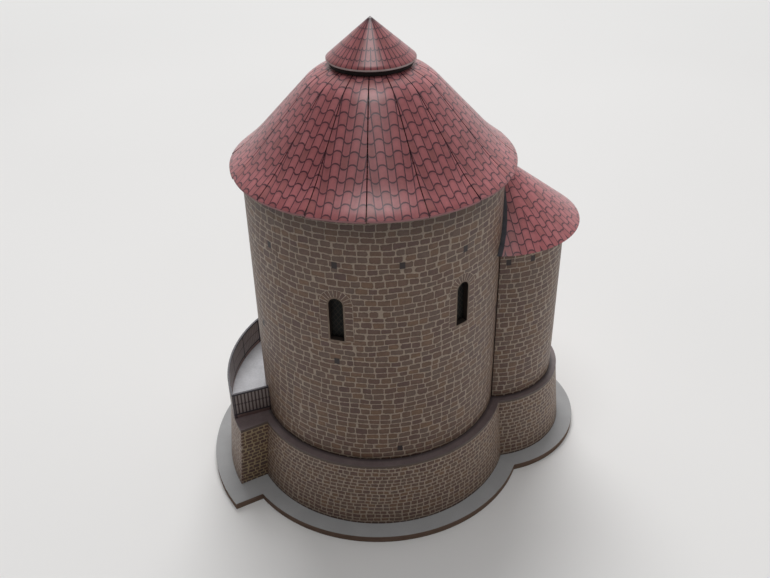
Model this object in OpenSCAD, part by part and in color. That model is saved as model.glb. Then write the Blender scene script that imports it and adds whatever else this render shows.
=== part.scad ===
// Card scale model of a round Romanesque chapel: a drum with a conical tiled roof, a lower apse
// and a terrace with a railing, all on a battered plinth and a flat base board.
// The origin is on the drum's axis at the base board's underside, and +Z is up.

/* [Base board and plinth] */
// Thickness of the base board
board_t = 1.8; // [1:0.1:4]
// How far the base board shows around the plinth's foot
board_margin = 4.2; // [2:0.1:10]
// Height of the plinth, from the base board to the top of its deck
plinth_h = 17.6; // [8:0.1:30]
// How much further out the plinth's foot is than its top
plinth_batter = 1.7; // [0:0.1:4]
// Width of the ledge around the drum
drum_ledge = 2.3; // [1:0.1:5]
// Width of the ledge around the apse
apse_ledge = 1.8; // [1:0.1:5]
// Thickness of the deck that covers the plinth
deck_t = 0.8; // [0.5:0.1:2]

/* [Card] */
// Thickness of the card that the walls and railings are made of
card = 0.5; // [0.4:0.1:1.2]
// Thickness of the roof card, measured upright
roof_card = 0.7; // [0.5:0.1:1.5]

/* [Drum] */
// Outer radius of the drum
drum_r = 30; // [24:0.5:40]
// Height of the drum, from the deck to the level of its eave
drum_h = 65.6; // [45:0.5:90]
// Number of wall panels around the drum
drum_panels = 3; // [3:1:6]
// Direction of the first seam between the wall panels
seam_az = -14.5; // [-20:0.5:-10]

/* [Drum roof] */
// Number of gores in the roof
gores = 16; // [12:1:24]
// Direction of the first slit between gores
gore_az = 267.5; // [250:0.5:290]
// Width of the slit between two gores at the eave
gore_slit = 0.25; // [0.1:0.05:0.5]
// Overhang of the eave beyond the drum
eave_out = 2.5; // [1:0.1:5]
// Width of the flared strip along the eave
flare_w = 4.9; // [3:0.1:8]
// Rise of the flared strip
flare_rise = 4.0; // [2:0.1:6]
// Radius at which the steep slope turns into the shoulder
shoulder_r = 13.3; // [11:0.1:18]
// Rise of the steep slope between the flare and the shoulder
steep_rise = 15.2; // [10:0.1:25]
// Rise of the shoulder up to the neck
shoulder_rise = 2.0; // [0.5:0.1:3]
// Length over which each bend of the roof is rounded
bend_len = 2.4; // [1:0.1:3]

/* [Neck and cap] */
// Radius of the neck under the cap
neck_r = 9; // [6:0.1:10]
// Height of the neck between the roof and the cap's rim
neck_h = 1.5; // [1:0.1:4]
// Overhang of the cap beyond the neck
cap_out = 0.75; // [0.3:0.05:2]
// Height of the cap
cap_h = 8.4; // [5:0.1:14]

/* [Apse] */
// Direction of the apse from the drum's axis
apse_az = 20; // [10:1:30]
// How far the apse's axis lies outside the drum's wall
apse_offset = 1; // [-1:0.5:4]
// Outer radius of the apse
apse_r = 18.1; // [14:0.1:22]
// Height of the apse, from the deck to the level of its eave
apse_h = 44.5; // [30:0.5:50]
// Overhang of the apse's eave
apse_eave_out = 3.6; // [1:0.1:5]
// Rise of the apse's roof from its eave to its point
apse_rise = 16.5; // [10:0.1:20]
// Gap between the apse's wall and the drum
apse_gap = 0.25; // [0.1:0.05:0.5]
// Thickness of the strip that closes the apse's roof against the drum
closer_t = 1.1; // [0.6:0.1:2]

/* [Terrace] */
// Direction of the terrace's front wall
terrace_az = 208.5; // [205:0.5:215]
// Angle that the terrace spans around the drum
terrace_span = 90; // [70:1:100]
// Width of the terrace, from the drum to its edge
terrace_w = 9.5; // [7:0.1:14]
// Angle by which each end railing stands back from the end of the terrace
rail_setback = 7.7; // [2:0.1:12]
// Height of the railing
rail_h = 7.6; // [5:0.1:10]

/* [Openings] */
// Directions of the drum's windows
window_az = [253.3, 309.6, 90.4];
// Clear width of a drum window
window_w = 3.3; // [2:0.1:5]
// Height of a drum window, from its sill to its crown
window_h = 10.9; // [6:0.1:16]
// Height of the drum windows' sills above the deck
window_sill = 34.4; // [20:0.1:45]
// Clear width of the apse's window
apse_window_w = 2.6; // [2:0.1:4]
// Height of the apse's window
apse_window_h = 8; // [5:0.1:12]
// Height of the apse window's sill above the deck
apse_window_sill = 21; // [10:0.1:28]
// Clear width of the doorway onto the terrace
door_w = 6.2; // [5:0.1:8]
// Height of the doorway, from the deck to its crown
door_h = 14; // [10:0.1:20]
// Depth of each opening, from the wall's face to the panel behind it
recess = 1.4; // [1:0.1:2.5]
// Thickness of the card that lines each opening
lining = 0.4; // [0.3:0.05:0.6]
// How far the panel behind an opening reaches past it on each side
panel_lap = 1; // [0.5:0.1:2]

/* [Hidden] */
$fn = 96;
eps = 0.01;
far = 200;
bend_steps = 5;

deck_z = board_t + plinth_h;
wall_foot = board_t;
wall_top = deck_z - deck_t;
plinth_top_r = drum_r + drum_ledge;
apse_plinth_r = apse_r + apse_ledge;
terrace_r = drum_r + terrace_w;
terrace_end = terrace_az - terrace_span;
door_az = terrace_az - terrace_span / 2;
panel_span = 360 / drum_panels;

eave_z = deck_z + drum_h;
eave_r = drum_r + eave_out;
flare_r = eave_r - flare_w;
flare_z = eave_z + flare_rise;
shoulder_z = flare_z + steep_rise;
roof_top_z = shoulder_z + shoulder_rise;
gore_span = 360 / gores;
slit_span = gore_slit / eave_r * 180 / PI;
cap_z = roof_top_z + neck_h;
cap_r = neck_r + cap_out;

apse_dist = drum_r + apse_offset;
apse_eave_z = deck_z + apse_h;
apse_eave_r = apse_r + apse_eave_out;

GORE_NODES = [for (i = [1 : gores]) str("roof_gore_", i)];
PANEL_NODES = [for (i = [1 : drum_panels]) str("drum_wall_", i)];

// --- Shared shapes ---------------------------------------------------------------------------

module at_apse() {
  rotate(apse_az) translate([apse_dist, 0, 0]) rotate(-apse_az) children();
}

// A round, upright-sided or battered shell, closed by nothing at its ends.
module shell(r_foot, r_top, z0, z1, t) {
  difference() {
    translate([0, 0, z0]) cylinder(r1 = r_foot, r2 = r_top, h = z1 - z0);
    translate([0, 0, z0 - eps])
      cylinder(r1 = r_foot - t, r2 = r_top - t, h = z1 - z0 + 2 * eps);
  }
}

// Flat wedge between two directions, with its two straight sides moved out by a margin.
module wedge_outline(az0, az1, margin) {
  half = (az1 - az0) / 2;
  rotate(az0 + half) translate([-margin / sin(half), 0])
    polygon([[0, 0], [far, -far * tan(half)], [far, far * tan(half)]]);
}

module wedge(az0, az1, z0, z1, margin = 0) {
  translate([0, 0, z0]) linear_extrude(z1 - z0) wedge_outline(az0, az1, margin);
}

// Round-headed outline that stands on the X axis.
module arch(w, h) {
  translate([-w / 2, 0]) square([w, h - w / 2]);
  translate([0, h - w / 2]) circle(d = w);
}

// Stands children's flat outline in a round wall of radius r, from depth d0 to depth d1.
module in_wall(az, r, sill, d0, d1) {
  rotate(az) translate([r - d1, 0, deck_z + sill]) rotate([90, 0, 90])
    linear_extrude(d1 - d0) children();
}

module wall_opening(az, r, sill, w, h) {
  in_wall(az, r, sill - lining, -1, recess) arch(w + 2 * lining, h + 2 * lining);
}

module opening_lining(az, r, sill, w, h) {
  intersection() {
    in_wall(az, r, sill, -1, recess) difference() {
      translate([0, -lining]) arch(w + 2 * lining, h + 2 * lining);
      arch(w, h);
    }
    cylinder(r = r, h = far);
  }
}

module opening_panel(az, r, sill, w, h) {
  in_wall(az, r, sill, recess, recess + card)
    translate([0, -panel_lap]) arch(w + 2 * panel_lap, h + 2 * panel_lap);
}

// --- Profiles of the drum's roof -------------------------------------------------------------

// Points of a rounded bend at corner b, on the way from a to c.
function bend(a, b, c) =
  let (p = b + (a - b) * bend_len / norm(a - b), q = b + (c - b) * bend_len / norm(c - b))
  [for (i = [0 : bend_steps]) let (t = i / bend_steps)
    (1 - t) * (1 - t) * p + 2 * t * (1 - t) * b + t * t * q];

EAVE = [eave_r, eave_z];
FLARE = [flare_r, flare_z];
SHOULDER = [shoulder_r, shoulder_z];
ROOF_TOP = [neck_r, roof_top_z];
ROOF_LINE = concat([EAVE], bend(EAVE, FLARE, SHOULDER), bend(FLARE, SHOULDER, ROOF_TOP), [ROOF_TOP]);

function lowered(line, dz) = [for (p = line) [p[0], p[1] - dz]];
function backwards(line) = [for (i = [len(line) - 1 : -1 : 0]) line[i]];

// Everything that lies under the drum's roof card.
module under_roof() {
  rotate_extrude()
    polygon(concat([[0, 0], [eave_r, 0]], lowered(ROOF_LINE, roof_card), [[0, roof_top_z - roof_card]]));
}

module apse_cone(dz = 0) {
  at_apse() translate([0, 0, apse_eave_z - dz])
    cylinder(r1 = apse_eave_r, r2 = 0, h = apse_rise);
}

// --- Base board, plinth and deck -------------------------------------------------------------

// Outline of the whole plinth; "out" moves every edge outwards.
module plinth_outline(out) {
  circle(r = plinth_top_r + out);
  at_apse() circle(r = apse_plinth_r + out);
  intersection() {
    circle(r = terrace_r + out);
    wedge_outline(terrace_end, terrace_az, max(out, eps));
  }
}

module base_board() {
  color("dimgray") linear_extrude(board_t) plinth_outline(plinth_batter + board_margin);
}

module plinth_deck() {
  color("darkgray") translate([0, 0, wall_top]) linear_extrude(deck_t) plinth_outline(0);
}

module drum_plinth_solid() {
  translate([0, 0, wall_foot])
    cylinder(r1 = plinth_top_r + plinth_batter, r2 = plinth_top_r, h = wall_top - wall_foot);
}

// The battered cores of the drum's and the apse's plinths, with every face moved in by "inset".
module plinth_core(inset) {
  translate([0, 0, wall_foot])
    cylinder(r1 = plinth_top_r + plinth_batter - inset, r2 = plinth_top_r - inset,
             h = wall_top - wall_foot);
  at_apse() translate([0, 0, wall_foot])
    cylinder(r1 = apse_plinth_r + plinth_batter - inset, r2 = apse_plinth_r - inset,
             h = wall_top - wall_foot);
}

module plinth_wall() {
  color("rosybrown") difference() {
    plinth_core(0);
    plinth_core(card);
    wedge(terrace_end, terrace_az, 0, wall_top + 1);
  }
}

// --- Terrace -------------------------------------------------------------------------------

module terrace_wall_outer() {
  color("rosybrown") intersection() {
    shell(terrace_r + plinth_batter, terrace_r, wall_foot, wall_top, card);
    wedge(terrace_end, terrace_az, 0, wall_top);
  }
}

// Flat end wall of the terrace in direction az; the terrace lies on the other side of it.
module terrace_end_wall(az, side) {
  color("rosybrown") difference() {
    intersection() {
      rotate(az) translate([0, side > 0 ? -card : 0, wall_foot])
        cube([terrace_r + plinth_batter, card, wall_top - wall_foot]);
      translate([0, 0, wall_foot])
        cylinder(r1 = terrace_r + plinth_batter - card, r2 = terrace_r - card,
                 h = wall_top - wall_foot);
    }
    drum_plinth_solid();
  }
}

module terrace_wall_front() {
  terrace_end_wall(terrace_az, 1);
}

module terrace_wall_back() {
  terrace_end_wall(terrace_end, -1);
}

module end_railing(az) {
  color("slategray") rotate(az) translate([drum_r, -card / 2, deck_z])
    cube([terrace_w - card, card, rail_h]);
}

module railing_front() {
  end_railing(terrace_az - rail_setback);
}

module railing_back() {
  end_railing(terrace_end + rail_setback);
}

module railing_outer() {
  color("slategray") intersection() {
    shell(terrace_r, terrace_r, deck_z, deck_z + rail_h, card);
    wedge(terrace_end + rail_setback, terrace_az - rail_setback, deck_z, deck_z + rail_h, card / 2);
  }
}

// --- Drum ------------------------------------------------------------------------------------

module drum_wall(i) {
  from = seam_az + i * panel_span;
  color("tan") difference() {
    intersection() {
      shell(drum_r, drum_r, deck_z, eave_z + flare_rise, card);
      under_roof();
      wedge(from, from + panel_span, deck_z, eave_z + flare_rise);
    }
    for (az = window_az) wall_opening(az, drum_r, window_sill, window_w, window_h);
    wall_opening(door_az, drum_r, 0, door_w, door_h);
  }
}

module window_linings() {
  color("tan") for (az = window_az) opening_lining(az, drum_r, window_sill, window_w, window_h);
  color("tan") at_apse()
    opening_lining(apse_az, apse_r, apse_window_sill, apse_window_w, apse_window_h);
}

module window_panes() {
  color("black") for (az = window_az) opening_panel(az, drum_r, window_sill, window_w, window_h);
  color("black") at_apse()
    opening_panel(apse_az, apse_r, apse_window_sill, apse_window_w, apse_window_h);
}

module door_lining() {
  color("tan") opening_lining(door_az, drum_r, lining, door_w, door_h - lining);
}

module door_leaf() {
  color("saddlebrown") opening_panel(door_az, drum_r, panel_lap, door_w, door_h - panel_lap);
}

module roof_gore(i) {
  from = gore_az + i * gore_span + slit_span / 2;
  color("indianred") rotate(from) rotate_extrude(angle = gore_span - slit_span)
    polygon(concat(ROOF_LINE, backwards(lowered(ROOF_LINE, roof_card))));
}

module roof_neck() {
  color("black") difference() {
    shell(neck_r, neck_r, roof_top_z - roof_card, cap_z + cap_h, card);
    translate([0, 0, cap_z - roof_card]) difference() {
      cylinder(r = cap_r, h = 2 * cap_h);
      translate([0, 0, -eps]) cylinder(r1 = cap_r, r2 = 0, h = cap_h);
    }
  }
}

module roof_cap() {
  color("indianred") difference() {
    translate([0, 0, cap_z]) cylinder(r1 = cap_r, r2 = 0, h = cap_h);
    translate([0, 0, cap_z - roof_card]) cylinder(r1 = cap_r, r2 = 0, h = cap_h);
  }
}

// --- Apse ------------------------------------------------------------------------------------

module apse_wall() {
  color("tan") difference() {
    intersection() {
      at_apse() shell(apse_r, apse_r, deck_z, apse_eave_z + apse_rise, card);
      union() {
        apse_cone(roof_card);
        at_apse() cylinder(r = apse_eave_r, h = apse_eave_z - roof_card);
      }
    }
    translate([0, 0, deck_z - 1]) cylinder(r = drum_r + apse_gap, h = far);
    translate([0, 0, apse_eave_z]) cylinder(r = drum_r + closer_t, h = far);
    at_apse() wall_opening(apse_az, apse_r, apse_window_sill, apse_window_w, apse_window_h);
  }
}

module apse_roof() {
  color("indianred") difference() {
    apse_cone();
    apse_cone(roof_card);
    cylinder(r = drum_r + closer_t, h = far);
  }
}

module apse_roof_closer() {
  color("slategray") intersection() {
    difference() {
      cylinder(r = drum_r + closer_t, h = far);
      translate([0, 0, -1]) cylinder(r = drum_r, h = far + 2);
    }
    apse_cone();
  }
}

base_board();
plinth_wall();
terrace_wall_front();
terrace_wall_outer();
terrace_wall_back();
plinth_deck();
apse_wall();
window_linings();
window_panes();
door_lining();
door_leaf();
roof_neck();
roof_cap();
apse_roof();
apse_roof_closer();
railing_front();
railing_outer();
railing_back();
for (i = [0 : drum_panels - 1]) drum_wall(i);
for (i = [0 : gores - 1]) roof_gore(i);
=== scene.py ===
"""Looks of a card scale model of a round chapel: printed stone walls, printed tiles, paper edges."""

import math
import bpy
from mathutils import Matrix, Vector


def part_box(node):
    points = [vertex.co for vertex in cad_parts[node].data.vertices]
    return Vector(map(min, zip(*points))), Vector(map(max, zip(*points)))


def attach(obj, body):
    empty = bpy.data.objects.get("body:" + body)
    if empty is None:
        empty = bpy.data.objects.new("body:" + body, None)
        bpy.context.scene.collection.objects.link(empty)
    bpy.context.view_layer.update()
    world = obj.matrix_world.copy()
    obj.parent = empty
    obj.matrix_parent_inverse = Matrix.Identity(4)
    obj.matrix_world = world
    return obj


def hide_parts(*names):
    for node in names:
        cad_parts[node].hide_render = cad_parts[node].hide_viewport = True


bl_info = {
    "name": "Card Rotunda",
    "version": (1, 0, 0),
    "blender": (4, 5, 0),
    "location": "3D View > Sidebar > Rotunda",
    "description": "Finishes the card model of a rotunda and sets it on a pale table",
    "category": "Object",
}

import bmesh
import bpy
from mathutils import Color, Matrix, Vector

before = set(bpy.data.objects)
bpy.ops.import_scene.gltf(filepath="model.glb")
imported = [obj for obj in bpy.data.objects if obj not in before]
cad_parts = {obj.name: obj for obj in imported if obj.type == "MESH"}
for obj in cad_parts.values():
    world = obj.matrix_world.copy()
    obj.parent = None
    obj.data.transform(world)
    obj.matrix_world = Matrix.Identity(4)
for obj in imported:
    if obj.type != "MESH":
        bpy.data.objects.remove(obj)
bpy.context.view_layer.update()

MM = 0.001

# Heights and radii that the solids fix, in mm.
BOARD_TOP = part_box("base_board")[1].z / MM
DECK_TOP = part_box("plinth_deck")[1].z / MM
DRUM_R = -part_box("drum_wall_3")[0].y / MM
GORE_BOX = (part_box("roof_gore_1")[0] / MM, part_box("roof_gore_1")[1] / MM)
NECK_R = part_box("roof_neck")[1].x / MM
CAP_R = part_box("roof_cap")[1].x / MM
CAP_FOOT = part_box("roof_cap")[0].z / MM
CAP_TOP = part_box("roof_cap")[1].z / MM

# The roof's line, as the solids have it, in mm, and how its printed card is bent.
ROOF_CARD = 0.7
EAVE = Vector((DRUM_R + 2.5, GORE_BOX[0].z + ROOF_CARD))
FLARE = EAVE + Vector((-4.9, 4.0))
SHOULDER = Vector((13.3, FLARE.y + 15.2))
ROOF_TOP = Vector((NECK_R, GORE_BOX[1].z))
PRINTED_CARD = 0.45
BEND = 2.4
GORES = 16
FIRST_SLIT = 267.5

# A gore's faces across, its crown and curl in mm, and where up the slope a painted sheen makes its
# print paler.
GORE_STEPS = 10
CROWN = 0.03
CURL, CURL_REACH = 0.28, 9.0
FLARE_SHEEN_FADE, SHOULDER_SHEEN_FADE = (4.5, 8.0), (24.0, 29.0)

# The cap's card in mm, where its slope has points, its faces round, and its columns of tiles.
CAP_CARD = 0.42
CAP_SHARES = (0.0, 0.08, 0.3, 0.55, 0.8, 0.93, 1.0)
CAP_STEPS = 64
CAP_COLUMNS, CAP_LOW_COLUMNS, CAP_LOW_ROWS = 22.0, 44.0, 2.1

# The apse and the terrace, in degrees and mm.
APSE_TURN = 20.0
APSE_R = 18.1
APSE_OUT = 31.0
APSE_AXIS = (
    APSE_OUT * math.cos(math.radians(APSE_TURN)),
    APSE_OUT * math.sin(math.radians(APSE_TURN)),
)
APSE_EAVE_R = APSE_R + 3.6
APSE_RISE = 16.5
PLINTH_R = DRUM_R + 2.3
PLINTH_BATTER = 1.7
TERRACE_R = DRUM_R + 9.5
TERRACE_MIDDLE = 163.5
RAIL_TURN = 74.6
RAIL_LONG = 9.0
RAIL_PANELS, RAIL_BARS = 6, 10

# The openings, in degrees and mm.
WINDOW_TURNS = (253.3, 309.6, 90.4)
WINDOW_W, WINDOW_H, WINDOW_SILL = 3.3, 10.9, DECK_TOP + 34.4
APSE_WINDOW_W, APSE_WINDOW_H, APSE_WINDOW_SILL = 2.6, 8.0, DECK_TOP + 21.0
DOOR_W, DOOR_H = 6.2, 14.0
PANEL_SEAMS = (-14.5, 105.5, 225.5)

# Square holes left by scaffolding, as heights in mm and directions in degrees.
DRUM_HOLES = (
    (73.0, (-139.4, -106.3, -79.0, -49.9, -20, 12, 42, 72, 102, 131, 161, 191)),
    (48.1, (-107.4, -17, 62, 125, 206)),
    (22.6, (-80.7, 100, 140)),
)
APSE_HOLES = (60.0, (-83, -63, -30, 5, 40, 70, 100))

# The stage: the backdrop's colour from 0 to 255, the table in m and its fade into the backdrop in mm,
# lamps as place and size in m, and the camera's place in mm with its two directions.
BACKDROP = (230, 230, 229)
TABLE_R, TABLE_DROP = 2.4, 0.02
TABLE_FADE = (240.0, 800.0)
LAMP_OVER = ((0.0, -0.1, 0.8), 0.38)
LAMP_BACK = ((0.0, 1.44, 1.68), 1.36)
LAMP_TARGET = (0.0, 0.0, 0.04)
CAMERA_PLACE = Vector((2.022, -181.329, 164.403))
CAMERA_RIGHT = Vector((0.9998129, -0.01041284, -0.01630174))
CAMERA_UP = Vector((0.01934358, 0.5382091, 0.84258933))
SENSOR = 36.0


def seen(red, green, blue):
    """Linear colour of an ink that looks like these values from 0 to 255."""
    return tuple(Color((red / 255, green / 255, blue / 255)).from_srgb_to_scene_linear())


# --- Sizes and colours that a user would change --------------------------------------------------


def length_prop(name, note, mm, low=0.05, high=60.0):
    return bpy.props.FloatProperty(
        name=name, description=note, default=mm * MM, min=low * MM, max=high * MM,
        subtype="DISTANCE", unit="LENGTH", precision=5)


def ink_prop(name, note, red, green, blue):
    return bpy.props.FloatVectorProperty(
        name=name, description=note, default=seen(red, green, blue), min=0.0, max=1.0,
        subtype="COLOR", size=3)


class RotundaStonework(bpy.types.PropertyGroup):
    """Printed stonework of the walls and the plinth."""

    course: length_prop("Course height", "Mean height of a course on the drum and apse", 1.5)
    stone: length_prop("Stone length", "Mean length of a stone on the drum and apse", 2.55)
    plinth_course: length_prop("Plinth course", "Mean height of a course on the plinth", 1.06)
    plinth_stone: length_prop("Plinth stone", "Mean length of a stone on the plinth", 1.66)
    joint: length_prop("Joint width", "Width of the mortar joints", 0.27)
    brown: ink_prop("Brown stone", "Commonest stone", 121, 94, 80)
    grey: ink_prop("Grey stone", "Greyer stones", 119, 97, 86)
    ochre: ink_prop("Ochre stone", "Warm stones", 132, 102, 81)
    purple: ink_prop("Purple stone", "Cold stones", 110, 84, 77)
    mortar: ink_prop("Mortar", "Joints between the stones", 177, 158, 140)
    hole: ink_prop("Hole", "Square holes left by scaffolding", 58, 48, 48)
    reveal: ink_prop("Reveal", "Card that lines the openings", 52, 43, 38)


class RotundaTiles(bpy.types.PropertyGroup):
    """Printed tiles of the roofs."""

    pair: length_prop("Column pair", "Width of one narrow and one wide column of tiles", 3.55)
    narrow: length_prop("Narrow column", "Width of a narrow column", 1.65)
    row: length_prop("Row", "Distance between rows along the slope", 2.75)
    line: length_prop("Outline", "Width of the printed outlines", 0.33)
    slit: length_prop("Slit", "Width of the slit between two gores", 0.19)
    pink: ink_prop("Pink tile", "Commonest tile", 168, 98, 101)
    brown: ink_prop("Brown tile", "Browner tiles", 156, 94, 94)
    pale: ink_prop("Pale tile", "Paler tiles", 176, 108, 111)
    outline: ink_prop("Outline ink", "Lines round the tiles", 80, 45, 56)
    paper: ink_prop("Cut edge", "Cut edge of the roof card", 176, 128, 131)


class RotundaCard(bpy.types.PropertyGroup):
    """Plain and printed card of the terrace, openings and base."""

    board: ink_prop("Greyboard", "Face of the base board", 160, 160, 161)
    board_edge: ink_prop("Board edge", "Cut edge of the base board", 122, 100, 86)
    deck: ink_prop("Deck", "Printed deck of the terrace", 184, 184, 188)
    ledge: ink_prop("Ledge", "Printed ledge round the drum and the apse", 114, 100, 100)
    rail: ink_prop("Rail", "Printed rails of the railing", 56, 50, 58)
    bar: ink_prop("Bar", "Printed bars of the railing", 74, 58, 58)
    gap: ink_prop("Gap", "Print between the bars", 160, 148, 144)
    pane: ink_prop("Pane", "Printed window glass", 20, 21, 20)
    lead: ink_prop("Lead", "Printed leading of the windows", 58, 50, 40)
    door: ink_prop("Door", "Printed door planks", 96, 66, 46)
    neck: ink_prop("Neck", "Ring under the cap", 40, 28, 28)
    closer: ink_prop("Closing strip", "Strip between the apse's roof and the drum", 88, 88, 94)


class RotundaStage(bpy.types.PropertyGroup):
    """Table, lamps and camera."""

    floor: ink_prop("Table", "Pale table top", 230, 229, 228)
    ambient: bpy.props.FloatProperty(
        name="Room light", description="Brightness of the soft light from all round", default=0.01)
    behind: bpy.props.FloatProperty(
        name="Back glow", description="Extra room light from behind", default=0.78)
    left: bpy.props.FloatProperty(
        name="Left glow", description="Extra room light from the left", default=0.03)
    right: bpy.props.FloatProperty(
        name="Right glow", description="Extra room light from the right", default=0.22)
    top: bpy.props.FloatProperty(
        name="Top lamp", description="Power of the lamp overhead", default=1.95, unit="POWER")
    back: bpy.props.FloatProperty(
        name="Back lamp", description="Power of the lamp high behind", default=31.8, unit="POWER")
    lens: bpy.props.FloatProperty(
        name="Lens", description="Focal length of the camera in mm", default=40.2)


# --- Printed sheets ----------------------------------------------------------------------------


class Sheet:
    """Node tree of one sheet of card, with short calls for its arithmetic. Lengths are in mm."""

    def __init__(self, name, roughness, gloss=0.45):
        self.material = bpy.data.materials.new(name)
        self.material.use_nodes = True
        self.nodes = self.material.node_tree.nodes
        self.links = self.material.node_tree.links
        self.nodes.clear()
        self.shader = self.nodes.new("ShaderNodeBsdfPrincipled")
        self.output = self.nodes.new("ShaderNodeOutputMaterial")
        self.links.new(self.shader.outputs[0], self.output.inputs[0])
        self.shader.inputs["Roughness"].default_value = roughness
        self.shader.inputs["Specular IOR Level"].default_value = gloss
        coords = self.nodes.new("ShaderNodeTexCoord")
        grow = self.nodes.new("ShaderNodeVectorMath")
        grow.operation = "SCALE"
        grow.inputs["Scale"].default_value = 1 / MM
        self.links.new(coords.outputs["Object"], grow.inputs[0])
        self.place = grow.outputs[0]
        self.x, self.y, self.z = self.parts(self.place)

    def feed(self, socket, term):
        if isinstance(term, bpy.types.NodeSocket):
            self.links.new(term, socket)
        elif socket.type == "RGBA":
            socket.default_value = (*term[:3], 1.0)
        else:
            socket.default_value = term

    def do(self, operation, *terms):
        node = self.nodes.new("ShaderNodeMath")
        node.operation = operation
        for socket, term in zip(node.inputs, terms):
            self.feed(socket, term)
        return node.outputs[0]

    def parts(self, vector):
        node = self.nodes.new("ShaderNodeSeparateXYZ")
        self.links.new(vector, node.inputs[0])
        return node.outputs[0], node.outputs[1], node.outputs[2]

    def point(self, x, y, z=0.0):
        node = self.nodes.new("ShaderNodeCombineXYZ")
        for socket, term in zip(node.inputs, (x, y, z)):
            self.feed(socket, term)
        return node.outputs[0]

    def noise(self, place, scale, detail=2.0):
        node = self.nodes.new("ShaderNodeTexNoise")
        self.feed(node.inputs["Vector"], place)
        node.inputs["Scale"].default_value = scale
        node.inputs["Detail"].default_value = detail
        return node.outputs[0]

    def chance(self, a, b, c=0.0):
        node = self.nodes.new("ShaderNodeTexWhiteNoise")
        node.noise_dimensions = "3D"
        self.feed(node.inputs["Vector"], self.point(a, b, c))
        return node.outputs["Value"]

    def step(self, value, start, end, low=0.0, high=1.0):
        node = self.nodes.new("ShaderNodeMapRange")
        node.interpolation_type = "SMOOTHSTEP"
        for socket, term in zip(node.inputs, (value, start, end, low, high)):
            self.feed(socket, term)
        return node.outputs[0]

    def choose(self, share, a, b):
        """The number a where share is 0 and b where it is 1."""
        node = self.nodes.new("ShaderNodeMix")
        node.data_type = "FLOAT"
        for socket, term in zip((node.inputs[0], node.inputs[2], node.inputs[3]), (share, a, b)):
            self.feed(socket, term)
        return node.outputs[0]

    def ink(self, share, a, b):
        """The colour a where share is 0 and b where it is 1."""
        node = self.nodes.new("ShaderNodeMix")
        node.data_type = "RGBA"
        for socket, term in zip((node.inputs[0], node.inputs[6], node.inputs[7]), (share, a, b)):
            self.feed(socket, term)
        return node.outputs[2]

    def palette(self, value, *inks):
        node = self.nodes.new("ShaderNodeValToRGB")
        ramp = node.color_ramp
        for i in range(len(inks) - 2):
            ramp.elements.new((i + 1) / (len(inks) - 1))
        for element, ink in zip(ramp.elements, inks):
            element.color = (*ink[:3], 1.0)
        self.feed(node.inputs[0], value)
        return node.outputs[0]

    def shade(self, colour, amount):
        """The colour made lighter or darker by a number near 1."""
        node = self.nodes.new("ShaderNodeVectorMath")
        node.operation = "SCALE"
        self.feed(node.inputs[0], colour)
        self.feed(node.inputs["Scale"], amount)
        return node.outputs[0]

    def polar(self, axis=(0.0, 0.0)):
        """Direction from an upright axis, in radians, and distance from it."""
        x, y = self.do("SUBTRACT", self.x, axis[0]), self.do("SUBTRACT", self.y, axis[1])
        away = self.do("SQRT", self.do("MULTIPLY_ADD", x, x, self.do("MULTIPLY", y, y)))
        return self.do("ARCTAN2", y, x), away

    def aside(self, turn, degrees, radius):
        """Distance along the wall from the nearest of some directions, with its sign."""
        best = None
        for direction in degrees:
            off = self.do("SUBTRACT", turn, math.radians(direction))
            off = self.do("MULTIPLY", self.do("WRAP", off, -math.pi, math.pi), radius)
            if best is None:
                best = off
                continue
            nearer = self.do("LESS_THAN", self.do("ABSOLUTE", off), self.do("ABSOLUTE", best))
            best = self.choose(nearer, best, off)
        return best

    def finish(self, colour, relief=None, depth=0.03):
        """Gives the sheet its colour, with paper grain and the relief in mm if there is any."""
        fibre = self.noise(self.place, 5.5, 3.0)
        tone = self.step(fibre, 0.2, 0.8, 0.965, 1.035)
        self.feed(self.shader.inputs["Base Color"], self.shade(colour, tone))
        grain = self.do("MULTIPLY", fibre, 0.35)
        height = grain if relief is None else self.do("ADD", grain, relief)
        bump = self.nodes.new("ShaderNodeBump")
        bump.inputs["Strength"].default_value = 0.5
        bump.inputs["Distance"].default_value = depth * MM
        self.feed(bump.inputs["Height"], height)
        self.links.new(bump.outputs[0], self.shader.inputs["Normal"])
        return self.material


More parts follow.
